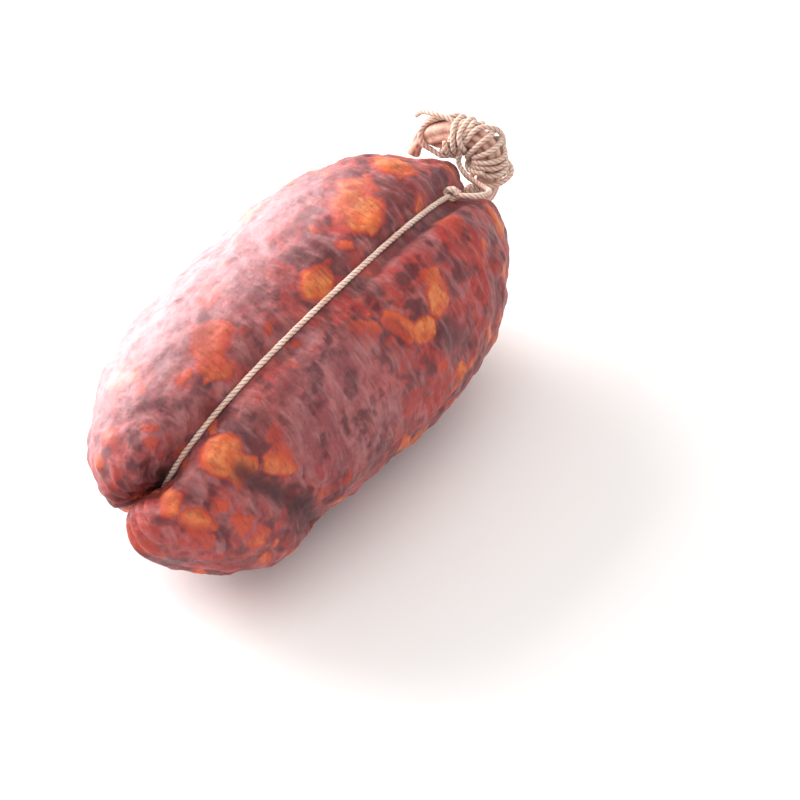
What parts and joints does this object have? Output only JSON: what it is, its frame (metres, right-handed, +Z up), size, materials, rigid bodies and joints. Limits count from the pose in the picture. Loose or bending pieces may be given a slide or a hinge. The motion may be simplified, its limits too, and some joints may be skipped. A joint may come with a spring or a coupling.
{
  "type": "cured sausage",
  "caption": "Fat, two-lobed dry-cured sausage in natural casing, tied lengthwise with butcher's twine to a folded, bound tail; lies on its flattened side.",
  "frame": {"origin": "middle of the pressed-flat underside, straight below the middle of the sausage, on the surface it lies on", "axes": "+X along the sausage towards the gathered neck and its folded tail, +Z up, +Y across, so that the visible run of twine leans towards -Y"},
  "size_m": [0.1788, 0.0833, 0.0786],
  "materials": {
    "cured_meat_in_casing": "dry natural casing, drawn tight over coarse cured meat and fat, with a dull sheen",
    "butchers_twine": "twisted natural cotton, stained pink by the meat, matte"
  },
  "bodies": {
    "root": {"sausage": "cured_meat_in_casing", "lengthwise_twine": "butchers_twine", "top_knot": "butchers_twine", "neck_strand": "butchers_twine", "neck_binding": "butchers_twine", "upright_winding": "butchers_twine", "end_winding": "butchers_twine", "loose_end": "butchers_twine"}
  },
  "joints": []
}
